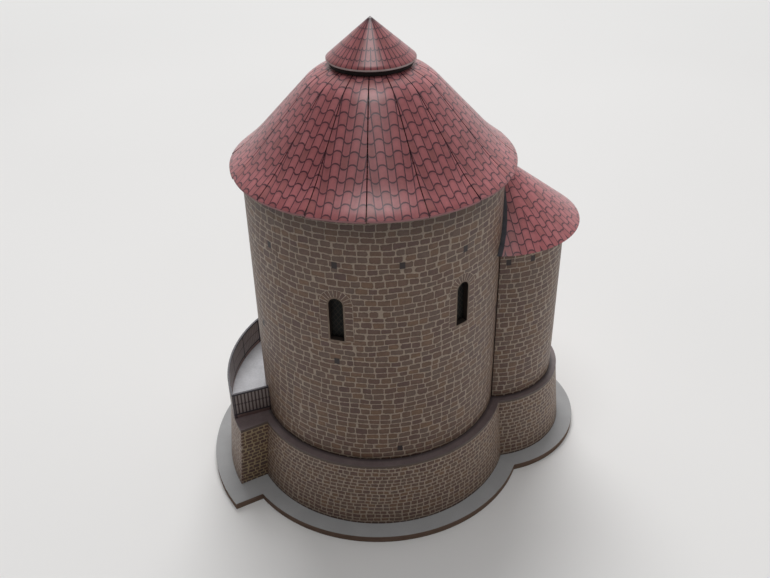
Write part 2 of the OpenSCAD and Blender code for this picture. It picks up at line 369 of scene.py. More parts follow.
def stone_rows(s, along, up, course, length, seed, turn):
    """How far a point lies inside its stone in mm, and the stone's own number from 0 to 1.
    along counts stones of equal length, and turn is how many go round."""
    level = s.noise(s.point(seed, 0.0, s.do("MULTIPLY", up, 0.5 / course)), 1.0, 1.0)
    sway = s.noise(s.point(s.do("MULTIPLY", s.x, 0.16), s.do("MULTIPLY", s.y, 0.16),
                           s.do("MULTIPLY", up, 0.35)), 1.0, 1.0)
    wavy = s.do("MULTIPLY_ADD", level, 0.6 * course, up)
    wavy = s.do("MULTIPLY_ADD", sway, 0.8 * course, wavy)
    count = s.do("DIVIDE", wavy, course)
    row = s.do("FLOOR", count)
    slide = s.chance(row, seed)
    uneven = s.noise(s.point(s.do("MULTIPLY", s.x, 0.42), s.do("MULTIPLY", s.y, 0.42),
                             s.do("MULTIPLY", row, 3.7)), 1.0, 1.0)
    number = s.do("MULTIPLY_ADD", slide, 7.0, along)
    number = s.do("MULTIPLY_ADD", uneven, 1.0, number)
    column = s.do("FLOOR", s.do("FLOORED_MODULO", number, turn))
    beside = s.do("ABSOLUTE", s.do("SUBTRACT", s.do("FRACT", number), 0.5))
    above = s.do("ABSOLUTE", s.do("SUBTRACT", s.do("FRACT", count), 0.5))
    corner = 0.30 * course
    qx = s.do("SUBTRACT", s.do("MULTIPLY", beside, length), length / 2 - corner)
    qy = s.do("SUBTRACT", s.do("MULTIPLY", above, course), course / 2 - corner)
    px, py = s.do("MAXIMUM", qx, 0.0), s.do("MAXIMUM", qy, 0.0)
    outside = s.do("SQRT", s.do("MULTIPLY_ADD", px, px, s.do("MULTIPLY", py, py)))
    reach = s.do("ADD", outside, s.do("MINIMUM", s.do("MAXIMUM", qx, qy), 0.0))
    return s.do("SUBTRACT", corner, reach), s.chance(row, column, seed)


def stone_ring(s, aside, up, width, height, reach=2.2, jamb=1.54, ring=11):
    """The narrow stones round an opening: where they are, how far a point lies inside its stone,
    and the stone's own number."""
    spring = height - width / 2
    over = s.do("SUBTRACT", up, spring)
    arch = s.do("GREATER_THAN", over, 0.0)
    side = s.do("ABSOLUTE", aside)
    away = s.do("SQRT", s.do("MULTIPLY_ADD", side, side, s.do("MULTIPLY", over, over)))
    out = s.do("SUBTRACT", s.choose(arch, side, away), width / 2)
    wedge = math.pi / ring
    count = s.choose(arch, s.do("DIVIDE", up, jamb),
                     s.do("DIVIDE", s.do("ARCTAN2", over, aside), wedge))
    part = s.do("FRACT", count)
    long = s.choose(arch, jamb, s.do("MULTIPLY", away, wedge))
    gap = s.do("MULTIPLY", s.do("MINIMUM", part, s.do("SUBTRACT", 1.0, part)), long)
    gap = s.do("MULTIPLY", gap, s.choose(arch, 1.0, 1.5))
    gap = s.do("MINIMUM", gap, s.do("SUBTRACT", reach, out))
    here = s.do("MULTIPLY", s.do("LESS_THAN", out, reach), s.do("GREATER_THAN", up, -0.1))
    return here, gap, s.chance(s.do("FLOOR", count), s.do("SIGN", aside), 3.0)


def stone_colour(s, inks, inside, number, holes=()):
    """Ink of a printed stone wall, from how far inside its stone a point is."""
    joint = inks.joint / MM
    ragged = s.noise(s.place, 1.9, 2.0)
    inside = s.do("MULTIPLY_ADD", s.do("SUBTRACT", ragged, 0.5), 0.34, inside)
    stone = s.palette(number, inks.brown, inks.grey, inks.brown, inks.ochre, inks.purple, inks.brown)
    cloudy = s.noise(s.place, 0.7, 3.0)
    stone = s.shade(stone, s.step(cloudy, 0.25, 0.75, 0.88, 1.1))
    stone = s.shade(stone, s.step(s.noise(s.place, 3.2, 2.0), 0.3, 0.7, 0.9, 1.08))
    stone = s.shade(stone, s.step(inside, joint * 0.5, joint * 1.5, 0.82, 1.0))
    mortar = s.shade(inks.mortar, s.step(s.noise(s.place, 1.2, 2.0), 0.3, 0.7, 0.9, 1.06))
    body = s.step(inside, joint * 0.28, joint * 0.72)
    colour = s.ink(body, mortar, stone)
    for hole in holes:
        colour = s.ink(hole, colour, inks.hole)
    return colour, body


def square_hole(s, aside, up, level, wide=1.25, tall=1.6):
    """Where a small dark square is, with soft edges."""
    across = s.step(s.do("ABSOLUTE", aside), wide / 2 - 0.13, wide / 2 + 0.13, 1.0, 0.0)
    upward = s.step(s.do("ABSOLUTE", s.do("SUBTRACT", up, level)), tall / 2 - 0.13, tall / 2 + 0.13,
                    1.0, 0.0)
    return s.do("MULTIPLY", across, upward)


def drum_print(inks):
    s = Sheet("drum_stone_print", 0.5)
    turn, _ = s.polar()
    course, length = inks.course / MM, inks.stone / MM
    count = round(2 * math.pi * DRUM_R / length)
    along = s.do("MULTIPLY", turn, count / (2 * math.pi))
    inside, number = stone_rows(s, along, s.z, course, length, 1.0, count)
    windows = s.aside(turn, WINDOW_TURNS, DRUM_R)
    rings = [stone_ring(s, windows, s.do("SUBTRACT", s.z, WINDOW_SILL), WINDOW_W, WINDOW_H)]
    door = s.aside(turn, (TERRACE_MIDDLE,), DRUM_R)
    rings.append(stone_ring(s, door, s.do("SUBTRACT", s.z, DECK_TOP), DOOR_W, DOOR_H, 2.5, 1.9, 13))
    for here, gap, own in rings:
        inside, number = s.choose(here, inside, gap), s.choose(here, number, own)
    holes = [square_hole(s, s.aside(turn, turns, DRUM_R), s.z, level) for level, turns in DRUM_HOLES]
    colour, body = stone_colour(s, inks, inside, number, holes)
    # Painted shade: a dark band with a scalloped top, where the wall meets the deck.
    scallop = s.do("ABSOLUTE", s.do("SINE", s.do("MULTIPLY", turn, 60.0)))
    shaded_foot = s.do("MULTIPLY_ADD", scallop, -0.25, s.do("SUBTRACT", s.z, DECK_TOP))
    colour = s.shade(colour, s.step(shaded_foot, 0.05, 0.4, 0.42, 1.0))
    # Painted shade: the wall is drawn darker for 8.5 mm under the roof's eave.
    eave = s.do("SUBTRACT", EAVE.y, s.z)
    colour = s.shade(colour, s.step(eave, 0.0, 8.5, 0.52, 1.0))
    seam = s.do("ABSOLUTE", s.aside(turn, PANEL_SEAMS, DRUM_R))
    colour = s.shade(colour, s.step(seam, 0.03, 0.14, 0.5, 1.0))
    return s.finish(colour, s.do("MULTIPLY", body, 0.4))


def apse_print(inks):
    s = Sheet("apse_stone_print", 0.5)
    turn, _ = s.polar(APSE_AXIS)
    course, length = inks.course / MM * 0.94, inks.stone / MM * 0.94
    count = round(2 * math.pi * APSE_R / length)
    along = s.do("MULTIPLY", turn, count / (2 * math.pi))
    inside, number = stone_rows(s, along, s.z, course, length, 5.0, count)
    window = s.aside(turn, (APSE_TURN,), APSE_R)
    here, gap, own = stone_ring(
        s, window, s.do("SUBTRACT", s.z, APSE_WINDOW_SILL), APSE_WINDOW_W, APSE_WINDOW_H)
    inside, number = s.choose(here, inside, gap), s.choose(here, number, own)
    level, turns = APSE_HOLES
    hole = square_hole(s, s.aside(turn, turns, APSE_R), s.z, level)
    colour, body = stone_colour(s, inks, inside, number, [hole])
    # Painted shade: the wall is drawn darker at its foot, where it meets the deck.
    colour = s.shade(colour, s.step(s.do("SUBTRACT", s.z, DECK_TOP), 0.05, 0.4, 0.5, 1.0))
    return s.finish(colour, s.do("MULTIPLY", body, 0.4))


def plinth_print(inks):
    """Small stones round the drum's plinth, and round the apse's where that is outside it."""
    s = Sheet("plinth_stone_print", 0.5)
    course, length = inks.plinth_course / MM, inks.plinth_stone / MM
    turn, away = s.polar()
    apse_turn, _ = s.polar(APSE_AXIS)
    share = s.do("DIVIDE", s.do("SUBTRACT", s.z, BOARD_TOP), DECK_TOP - BOARD_TOP)
    face = s.do("MULTIPLY_ADD", share, -PLINTH_BATTER, PLINTH_R + PLINTH_BATTER + 0.06)
    apse = s.do("GREATER_THAN", away, face)
    count = round(2 * math.pi * PLINTH_R / length)
    apse_count = round(2 * math.pi * (APSE_R + 1.8) / length)
    along = s.choose(apse, s.do("MULTIPLY", turn, count / (2 * math.pi)),
                     s.do("MULTIPLY", apse_turn, apse_count / (2 * math.pi)))
    inside, number = stone_rows(s, along, s.z, course, length, 9.0, 997.0)
    colour, body = stone_colour(s, inks, inside, number)
    # Painted shade: the plinth is drawn darker at its foot, where it meets the board.
    shaded_foot = s.step(s.do("SUBTRACT", s.z, BOARD_TOP), 0.1, 0.7, 0.55, 1.0)
    return s.finish(s.shade(colour, shaded_foot), s.do("MULTIPLY", body, 0.4))


def terrace_print(inks, flat):
    """Small stones on the terrace's round wall, or on its flat end walls."""
    s = Sheet("terrace_end_stone_print" if flat else "terrace_stone_print", 0.5)
    course, length = inks.plinth_course / MM, inks.plinth_stone / MM
    turn, away = s.polar()
    along = s.do("DIVIDE", away, length) if flat else s.do("MULTIPLY", turn, TERRACE_R / length)
    inside, number = stone_rows(s, along, s.z, course, length, 13.0, 997.0)
    colour, body = stone_colour(s, inks, inside, number)
    if flat:
        colour = s.ink(body, seen(178, 156, 122), s.shade(colour, 0.8))
    return s.finish(colour, s.do("MULTIPLY", body, 0.4))


def reveal_print(inks):
    s = Sheet("reveal_print", 0.6, 0.3)
    _, away = s.polar()
    _, apse_away = s.polar(APSE_AXIS)
    apse = s.do("GREATER_THAN", away, DRUM_R + 1.0)
    depth = s.choose(apse, s.do("SUBTRACT", DRUM_R, away), s.do("SUBTRACT", APSE_R, apse_away))
    # Painted shade: the linings are drawn as a dimmed stone tone at the wall's face, turning near
    # black deeper in the openings.
    face = s.ink(s.noise(s.place, 0.8, 2.0), inks.brown, inks.mortar)
    return s.finish(s.ink(s.step(depth, 0.02, 0.2), s.shade(face, 0.8), inks.reveal))


def tile_colour(s, inks, across, up, pair, narrow, row, line, first):
    """Ink of printed tiles, from the distances in mm across and up the slope, with painted shade on
    the tiles' round backs and a painted shadow under each row.
    """
    side = s.do("ABSOLUTE", s.do("WRAP", across, -0.5 * pair, 0.5 * pair))
    wide = s.do("GREATER_THAN", side, 0.5 * narrow)
    dip = s.do("DIVIDE", side, 0.5 * narrow)
    rise = s.do("DIVIDE", s.do("SUBTRACT", 0.5 * pair, side), 0.5 * (pair - narrow))
    bow = s.choose(
        wide,
        s.do("MULTIPLY", s.do("SUBTRACT", s.do("POWER", dip, 2.6), 1.0), 0.2 * row),
        s.do("MULTIPLY", s.do("SUBTRACT", 1.0, s.do("POWER", rise, 2.6)), 0.2 * row))
    count = s.do("DIVIDE", s.do("SUBTRACT", s.do("SUBTRACT", up, bow), first), row)
    part = s.do("FRACT", count)
    to_row = s.do("MULTIPLY", s.do("MINIMUM", part, s.do("SUBTRACT", 1.0, part)), row * 0.85)
    to_column = s.do("ABSOLUTE", s.do("SUBTRACT", side, 0.5 * narrow))
    column = s.do("ADD", s.do("FLOOR", s.do("ADD", s.do("DIVIDE", across, pair),
                                            s.choose(wide, 0.5, 0.0))), s.do("MULTIPLY", wide, 0.5))
    own = s.chance(column, s.do("FLOOR", count), 2.0)
    tile = s.palette(own, inks.pink, inks.brown, inks.pink, inks.pale, inks.pink)
    # Painted shade and light: wide tiles are drawn lighter along their round backs, and narrow ones
    # darker in their channels.
    painted_round_shade = s.choose(wide, s.step(dip, 0.0, 1.0, 0.93, 1.0), s.step(rise, 0.0, 1.0, 1.06, 0.96))
    tile = s.shade(tile, painted_round_shade)
    # Painted shadow: each row is drawn darker just below the foot of the row above.
    tile = s.shade(tile, s.step(part, 0.62, 1.0, 1.03, 0.86))
    tile = s.shade(tile, s.step(s.noise(s.place, 1.1, 3.0), 0.3, 0.7, 0.94, 1.06))
    wobble = s.do("MULTIPLY", s.do("SUBTRACT", s.noise(s.place, 1.6, 1.0), 0.5), 0.12)
    nearest = s.do("ADD", s.do("MINIMUM", to_row, s.do("ADD", to_column, 0.03)), wobble)
    drawn = s.step(nearest, line * 0.22, line * 0.68, 1.0, 0.0)
    return s.ink(drawn, tile, inks.outline), drawn


def tile_sizes(inks, scale=1.0):
    return [size / MM * scale for size in (inks.pair, inks.narrow, inks.row, inks.line)]


def gore_print(inks):
    s = Sheet("roof_tile_print", 0.33, 0.6)
    coords = s.nodes.new("ShaderNodeUVMap")
    coords.uv_map = "slope_mm"
    across, up, _ = s.parts(coords.outputs[0])
    colour, drawn = tile_colour(s, inks, across, up, *tile_sizes(inks), 0.3)
    # Painted sheen: the tiles are drawn paler at the flare and at the shoulder, where light shines on
    # the roof.
    flare_sheen, shoulder_sheen = s.step(up, *FLARE_SHEEN_FADE, 1.13, 1.0), s.step(up, *SHOULDER_SHEEN_FADE, 1.0, 1.12)
    colour = s.shade(colour, s.do("MULTIPLY", flare_sheen, shoulder_sheen))
    return s.finish(colour, s.do("MULTIPLY", drawn, -0.3))


def apse_tile_print(inks):
    s = Sheet("apse_roof_tile_print", 0.33, 0.6)
    turn, away = s.polar(APSE_AXIS)
    slope = math.hypot(APSE_EAVE_R, APSE_RISE) / APSE_EAVE_R
    up = s.do("MULTIPLY", s.do("SUBTRACT", APSE_EAVE_R, away), slope)
    gore = math.radians(24.0)
    local = s.do("WRAP", s.do("SUBTRACT", turn, math.radians(APSE_TURN)), -gore / 2, gore / 2)
    across = s.do("MULTIPLY", local, away)
    colour, drawn = tile_colour(s, inks, across, up, *tile_sizes(inks), 0.3)
    # Painted light: the apse roof's tiles are drawn 12% paler than the drum roof's.
    colour = s.shade(colour, 1.12)
    return s.finish(colour, s.do("MULTIPLY", drawn, -0.3))


def cap_tile_print(inks):
    """Tiles with rounded feet, in columns that run together towards the cap's point."""
    s = Sheet("cap_tile_print", 0.33, 0.6)
    turn, away = s.polar()
    rise = CAP_TOP - CAP_FOOT
    up = s.do("DIVIDE", s.do("SUBTRACT", s.z, CAP_FOOT), rise / math.hypot(CAP_R, rise))
    row, line = inks.row / MM * 0.92, inks.line / MM
    low = s.do("LESS_THAN", up, CAP_LOW_ROWS * row)
    around = s.choose(low, CAP_COLUMNS, CAP_LOW_COLUMNS)
    count = s.do("MULTIPLY", turn, s.do("DIVIDE", around, 2 * math.pi))
    side = s.do("MULTIPLY", s.do("ABSOLUTE", s.do("SUBTRACT", s.do("FRACT", count), 0.5)), 2.0)
    bow = s.do("MULTIPLY", s.do("SUBTRACT", s.do("POWER", side, 2.4), 1.0), 0.3 * row)
    rows = s.do("DIVIDE", s.do("SUBTRACT", s.do("SUBTRACT", up, bow), 0.25), row)
    part = s.do("FRACT", rows)
    to_row = s.do("MULTIPLY", s.do("MINIMUM", part, s.do("SUBTRACT", 1.0, part)), row)
    width = s.do("DIVIDE", s.do("MULTIPLY", away, math.pi), around)
    to_column = s.do("MULTIPLY", s.do("SUBTRACT", 1.0, side), width)
    tile = s.palette(s.chance(s.do("FLOOR", count), s.do("FLOOR", rows), 6.0),
                     inks.pink, inks.brown, inks.pink, inks.pale)
    # Painted shadow: each row is drawn darker just below the foot of the row above.
    tile = s.shade(tile, s.step(part, 0.6, 1.0, 1.03, 0.85))
    tile = s.shade(tile, s.step(s.noise(s.place, 1.1, 3.0), 0.3, 0.7, 0.94, 1.06))
    nearest = s.do("MINIMUM", to_row, s.do("ADD", to_column, 0.02))
    drawn = s.step(nearest, line * 0.22, line * 0.62, 1.0, 0.0)
    point = s.step(s.do("SUBTRACT", CAP_TOP, s.z), 0.2, 1.4, 0.6, 1.0)
    return s.finish(s.shade(s.ink(drawn, tile, inks.outline), point), s.do("MULTIPLY", drawn, -0.3))


def edge_print(name, ink):
    s = Sheet(name, 0.8, 0.2)
    layers = s.noise(s.point(s.do("MULTIPLY", s.x, 0.4), s.do("MULTIPLY", s.y, 0.4),
                             s.do("MULTIPLY", s.z, 4.0)), 1.0, 3.0)
    return s.finish(s.shade(ink, s.step(layers, 0.25, 0.75, 0.86, 1.12)))


def board_print(inks):
    """Grey board with flecks on its faces and a brown cut edge."""
    s = Sheet("greyboard", 0.85, 0.25)
    flecks = s.step(s.noise(s.place, 2.6, 4.0), 0.58, 0.72)
    clouds = s.noise(s.place, 0.12, 3.0)
    face = s.shade(inks.board, s.step(clouds, 0.3, 0.7, 0.95, 1.05))
    face = s.ink(s.do("MULTIPLY", flecks, 0.16), face, seen(120, 116, 114))
    layers = s.noise(s.point(s.do("MULTIPLY", s.x, 0.3), s.do("MULTIPLY", s.y, 0.3),
                             s.do("MULTIPLY", s.z, 5.0)), 1.0, 3.0)
    edge = s.shade(inks.board_edge, s.step(layers, 0.25, 0.75, 0.8, 1.15))
    top = s.do("SUBTRACT", BOARD_TOP, s.z)
    side = s.step(top, 0.04, 0.16)
    rim = s.step(s.do("ABSOLUTE", s.do("SUBTRACT", top, 0.1)), 0.02, 0.12, 0.35, 0.0)
    colour = s.ink(rim, s.ink(side, face, edge), seen(205, 203, 200))
    return s.finish(colour, None, 0.05)


def deck_print(inks):
    """Pale grey on the terrace, and a darker brown-grey on the narrow ledges that is partly painted
    shade; both are drawn darker next to the walls as painted shade.
    """
    s = Sheet("deck_print", 0.55, 0.4)
    turn, away = s.polar()
    _, apse_away = s.polar(APSE_AXIS)
    terrace = s.do("ABSOLUTE", s.aside(turn, (TERRACE_MIDDLE,), 180 / math.pi))
    terrace = s.step(terrace, RAIL_TURN / 2 - 0.2, RAIL_TURN / 2 + 0.4, 1.0, 0.0)
    clouds = s.step(s.noise(s.place, 0.35, 4.0), 0.3, 0.7, 0.92, 1.07)
    specks = s.step(s.noise(s.place, 2.2, 3.0), 0.3, 0.7, 0.94, 1.05)
    to_wall = s.do("MINIMUM", s.do("SUBTRACT", away, DRUM_R), s.do("SUBTRACT", apse_away, APSE_R))
    # Painted shade: ledge and terrace are both drawn darker close to the drum and apse walls.
    ledge = s.shade(inks.ledge, s.step(to_wall, 0.3, 1.0, 0.5, 1.0))
    pale = s.shade(inks.deck, s.step(to_wall, 0.1, 1.4, 0.72, 1.0))
    colour = s.shade(s.shade(s.ink(terrace, ledge, pale), clouds), specks)
    edge = s.step(s.do("SUBTRACT", DECK_TOP, s.z), 0.03, 0.2)
    return s.finish(s.ink(edge, colour, seen(104, 90, 84)))


def rail_print(inks, flat):
    """Printed bars between two rails, with a post at each end of a panel."""
    s = Sheet("end_railing_print" if flat else "railing_print", 0.5, 0.5)
    turn, away = s.polar()
    if flat:
        along, panel = s.do("SUBTRACT", away, DRUM_R), RAIL_LONG
    else:
        off = s.do("WRAP", s.do("SUBTRACT", turn, math.radians(TERRACE_MIDDLE)), -math.pi, math.pi)
        half = math.radians(RAIL_TURN) / 2 * TERRACE_R
        along = s.do("ADD", s.do("MULTIPLY", off, TERRACE_R), half)
        panel = 2 * half / RAIL_PANELS
    up = s.do("SUBTRACT", s.z, DECK_TOP)
    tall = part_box("railing_outer")[1].z / MM - DECK_TOP
    pitch = panel / RAIL_BARS
    bar = s.do("ABSOLUTE", s.do("WRAP", along, -pitch / 2, pitch / 2))
    post = s.do("ABSOLUTE", s.do("WRAP", along, -panel / 2, panel / 2))
    knob = s.do("ABSOLUTE", s.do("SUBTRACT", up, 0.56 * tall))
    width = s.step(knob, 0.15, 0.35, 0.3, 0.19)
    bars = s.step(s.do("SUBTRACT", bar, width), -0.05, 0.07, 1.0, 0.0)
    posts = s.step(post, 0.2, 0.32, 1.0, 0.0)
    top_rail = s.step(s.do("SUBTRACT", tall, up), 0.42, 0.56, 1.0, 0.0)
    low_rail = s.step(s.do("ABSOLUTE", s.do("SUBTRACT", up, 1.15)), 0.16, 0.28, 1.0, 0.0)
    if not flat:
        bars = s.do("MULTIPLY", bars, 0.42)
    colour = s.ink(bars, s.shade(inks.gap, s.step(s.noise(s.place, 1.4, 2.0), 0.3, 0.7, 0.92, 1.06)),
                   inks.bar)
    strip = s.ink(s.noise(s.place, 1.2, 2.0), seen(150, 128, 122), seen(120, 92, 88))
    colour = s.ink(s.step(up, 0.9, 1.0, 1.0, 0.0), colour, strip)
    thin_rail = s.step(knob, 0.08, 0.16, 0.55, 0.0)
    dark = s.do("MAXIMUM", s.do("MAXIMUM", posts, top_rail), s.do("MAXIMUM", low_rail, thin_rail))
    return s.finish(s.ink(dark, colour, inks.rail))


def pane_print(inks):
    s = Sheet("pane_print", 0.6, 0.2)
    turn, away = s.polar()
    apse_turn, _ = s.polar(APSE_AXIS)
    apse = s.do("GREATER_THAN", away, DRUM_R + 1.0)
    aside = s.choose(apse, s.aside(turn, WINDOW_TURNS, DRUM_R),
                     s.aside(apse_turn, (APSE_TURN,), APSE_R))
    lead = None
    for way in (1.0, -1.0):
        lean = s.do("MULTIPLY_ADD", aside, way, s.do("MULTIPLY", s.z, 0.8))
        gap = s.do("ABSOLUTE", s.do("WRAP", lean, -0.62, 0.62))
        drawn = s.step(gap, 0.05, 0.14, 1.0, 0.0)
        lead = drawn if lead is None else s.do("MAXIMUM", lead, drawn)
    glass = s.shade(inks.pane, s.step(s.noise(s.place, 0.9, 2.0), 0.3, 0.7, 0.7, 1.4))
    return s.finish(s.ink(s.do("MULTIPLY", lead, 0.7), glass, inks.lead))


def door_print(inks):
    """Upright planks with two dark strap hinges and a small ring handle."""
    s = Sheet("door_print", 0.55)
    turn, _ = s.polar()
    aside = s.aside(turn, (TERRACE_MIDDLE,), DRUM_R)
    up = s.do("SUBTRACT", s.z, DECK_TOP)
    plank = 1.05
    count = s.do("DIVIDE", aside, plank)
    gap = s.do("ABSOLUTE", s.do("WRAP", aside, -plank / 2, plank / 2))
    wood = s.noise(s.point(s.do("MULTIPLY", s.x, 3.0), s.do("MULTIPLY", s.y, 3.0),
                           s.do("MULTIPLY", s.z, 0.35)), 1.0, 4.0)
    shade = s.do("MULTIPLY", s.step(wood, 0.3, 0.7, 0.78, 1.16),
                 s.step(s.chance(s.do("ROUND", count), 4.0), 0.0, 1.0, 0.88, 1.1))
    colour = s.shade(inks.door, shade)
    joint = s.step(s.do("SUBTRACT", plank / 2, gap), 0.05, 0.13, 0.35, 1.0)
    colour = s.shade(colour, joint)
    straps = None
    for level in (3.0, 9.6):
        band = s.step(s.do("ABSOLUTE", s.do("SUBTRACT", up, level)), 0.22, 0.32, 1.0, 0.0)
        straps = band if straps is None else s.do("MAXIMUM", straps, band)
    straps = s.do("MULTIPLY", straps, s.do("GREATER_THAN", aside, -2.0))
    ring_up = s.do("SUBTRACT", up, 6.2)
    ring_off = s.do("ADD", aside, 1.9)
    ring = s.do("SQRT", s.do("MULTIPLY_ADD", ring_off, ring_off, s.do("MULTIPLY", ring_up, ring_up)))
    handle = s.step(s.do("ABSOLUTE", s.do("SUBTRACT", ring, 0.42)), 0.07, 0.15, 1.0, 0.0)
    iron = s.do("MAXIMUM", straps, handle)
    return s.finish(s.ink(iron, colour, seen(38, 36, 38)))


def plain_print(name, ink):
    s = Sheet(name, 0.7, 0.25)
    clouds = s.step(s.noise(s.place, 0.6, 3.0), 0.3, 0.7, 0.86, 1.12)
    return s.finish(s.shade(ink, clouds))


# --- Pieces ------------------------------------------------------------------------------------


def give(nodes, material):
    """Puts a finish on solids that keep their own shape."""
    for name in nodes:
        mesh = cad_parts[name].data
        mesh.materials.clear()
        mesh.materials.append(material)


def bend(a, b, c, steps=6):
    """Points of a rounded corner at b, on the way from a to c."""
    p, q = b + (a - b).normalized() * BEND, b + (c - b).normalized() * BEND
    return [p.lerp(b, i / steps).lerp(b.lerp(q, i / steps), i / steps) for i in range(steps + 1)]


def roof_line():
    """The top face of the roof from the eave to the neck, as distances out and heights in mm."""
    steep = [FLARE.lerp(SHOULDER, share) for share in (0.3, 0.5, 0.7)]
    return [EAVE, EAVE.lerp(FLARE, 0.35), *bend(EAVE, FLARE, SHOULDER), *steep,
            *bend(FLARE, SHOULDER, ROOF_TOP), ROOF_TOP]


def new_piece(name, bm, materials, nodes):
    """Makes an object of a finished bmesh and stands it in for its solids."""
    bmesh.ops.recalc_face_normals(bm, faces=bm.faces[:])
    mesh = bpy.data.meshes.new(name)
    bm.to_mesh(mesh)
    bm.free()
    for material in materials:
        mesh.materials.append(material)
    piece = bpy.data.objects.new(name, mesh)
    bpy.context.scene.collection.objects.link(piece)
    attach(piece, "root")
    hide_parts(*nodes)
    return piece


def spun_card(bm, line, start, angle):
    """Spins a line of points into a card of even upright thickness, with closed ends."""
    under = [Vector((p.x, p.y - PRINTED_CARD)) for p in reversed(line)]
    corners = [bm.verts.new((p.x * MM, 0.0, p.y * MM)) for p in [*line, *under]]
    face = bm.faces.new(corners)
    bmesh.ops.rotate(bm, verts=corners, cent=(0, 0, 0), matrix=Matrix.Rotation(start, 3, "Z"))
    bmesh.ops.spin(bm, geom=[face, *face.edges, *face.verts], cent=(0, 0, 0), axis=(0, 0, 1),
                   angle=angle, steps=GORE_STEPS)


def round_rims(bm, sharpest, width):
    """Rounds the card's cut edges, and shades every face smoothly."""
    rims = [e for e in bm.edges
            if len(e.link_faces) == 2 and e.calc_face_angle(0) > math.radians(sharpest)]
    bmesh.ops.bevel(bm, geom=rims, offset=width * MM, offset_type="OFFSET", segments=2, profile=0.5,
                    affect="EDGES", material=-1, clamp_overlap=True)
    for face in bm.faces:
        face.smooth = True


def gore_lift(number):
    """How much each side of a gore curls up at its eave, in mm."""
    left = CURL * math.sin(number * 2.3 + 0.4)
    right = CURL * math.sin(number * 3.7 + 1.9)
    return max(left, -0.02), max(right, -0.02)


def make_gore(number, inks, finishes):
    """One gore of the drum's roof, cut to an even slit and curling a little at its eave."""
    span = 2 * math.pi / GORES
    start = math.radians(FIRST_SLIT) + (number - 1) * span
    middle = start + span / 2
    line = roof_line()
    reach = [0.0]
    for a, b in zip(line, line[1:]):
        reach.append(reach[-1] + (b - a).length)
    bm = bmesh.new()
    spun_card(bm, line, start, span)
    slit = inks.slit / MM / 2
    lifts = gore_lift(number)
    uv = bm.loops.layers.uv.new("slope_mm")
    spot = {}
    for vert in bm.verts:
        x, y, z = vert.co / MM
        away = math.hypot(x, y)
        off = (math.atan2(y, x) - middle + math.pi) % (2 * math.pi) - math.pi
        near = min(range(len(line)), key=lambda i: abs(line[i].x - away))
        spot[vert] = (off * away, reach[near])
        side = abs(off) / (span / 2)
        turn = middle + off * (1 - slit / (away * span / 2))
        down = max(0.0, 1 - reach[near] / CURL_REACH)
        lift = lifts[0 if off < 0 else 1] * side * side * side * down * down
        away -= 0.45 * lift
        height = z + lift - CROWN * side * side
        vert.co = Vector((away * math.cos(turn), away * math.sin(turn), height)) * MM
    for face in bm.faces:
        for loop in face.loops:
            loop[uv].uv = spot[loop.vert]
        normal = face.normal
        centre = face.calc_center_median()
        outward = Vector((centre.x, centre.y, 0)).normalized()
        sideways = abs(normal.dot(Vector((-outward.y, outward.x, 0))))
        face.material_index = 1 if sideways > 0.8 else 2 if abs(normal.z) < 0.3 else 0
    round_rims(bm, 50, 0.05)
    for edge in bm.edges:
        edge.smooth = edge.calc_face_angle(0) < math.radians(18)
    return new_piece(f"tiled_gore_{number}", bm, finishes, [f"roof_gore_{number}"])


class ROTUNDA_OT_roof_gores(bpy.types.Operator):
    """Make the gores of the drum's roof"""

    bl_idname = "rotunda.roof_gores"
    bl_label = "Drum roof"

    def execute(self, context):
        inks = context.scene.rotunda_tiles
        finishes = [gore_print(inks), edge_print("slit_edge", seen(92, 54, 62)),
                    edge_print("eave_edge", inks.paper)]
        for number in range(1, GORES + 1):
            make_gore(number, inks, finishes)
        return {"FINISHED"}


class ROTUNDA_OT_roof_cap(bpy.types.Operator):
    """Make the cap's cone and finish the neck under it"""

    bl_idname = "rotunda.roof_cap"
    bl_label = "Cap and neck"

    def execute(self, context):
        inks = context.scene.rotunda_tiles
        rise = CAP_TOP - CAP_FOOT
        slope = [Vector((CAP_R * (1 - share), CAP_FOOT + rise * share)) for share in CAP_SHARES]
        under = [Vector((p.x, p.y - CAP_CARD)) for p in reversed(slope)]
        bm = bmesh.new()
        outline = [bm.verts.new((p.x * MM, 0.0, p.y * MM)) for p in [*under, *slope]]
        edges = [bm.edges.new(pair) for pair in zip(outline, outline[1:])]
        bmesh.ops.spin(bm, geom=[*outline, *edges], cent=(0, 0, 0), axis=(0, 0, 1),
                       angle=2 * math.pi, steps=CAP_STEPS, use_merge=True)
        bmesh.ops.remove_doubles(bm, verts=bm.verts[:], dist=1e-7)
        bmesh.ops.recalc_face_normals(bm, faces=bm.faces[:])
        round_rims(bm, 60, 0.07)
        for face in bm.faces:
            low = face.calc_center_median().z < (CAP_FOOT + 0.6) * MM
            face.material_index = 1 if abs(face.normal.z) < 0.35 and low else 0
        finish = cap_tile_print(inks)
        edge = edge_print("cap_card_edge", seen(190, 172, 170))
        new_piece("tiled_cap", bm, [finish, edge], ["roof_cap"])
        give(["roof_neck"], plain_print("neck_print", context.scene.rotunda_card.neck))
        return {"FINISHED"}


class ROTUNDA_OT_apse_roof(bpy.types.Operator):
    """Finish the apse's roof and the strip that closes it against the drum"""

    bl_idname = "rotunda.apse_roof"
    bl_label = "Apse roof"

    def execute(self, context):
        give(["apse_roof"], apse_tile_print(context.scene.rotunda_tiles))
        give(["apse_roof_closer"], plain_print("closer_print", context.scene.rotunda_card.closer))
        return {"FINISHED"}


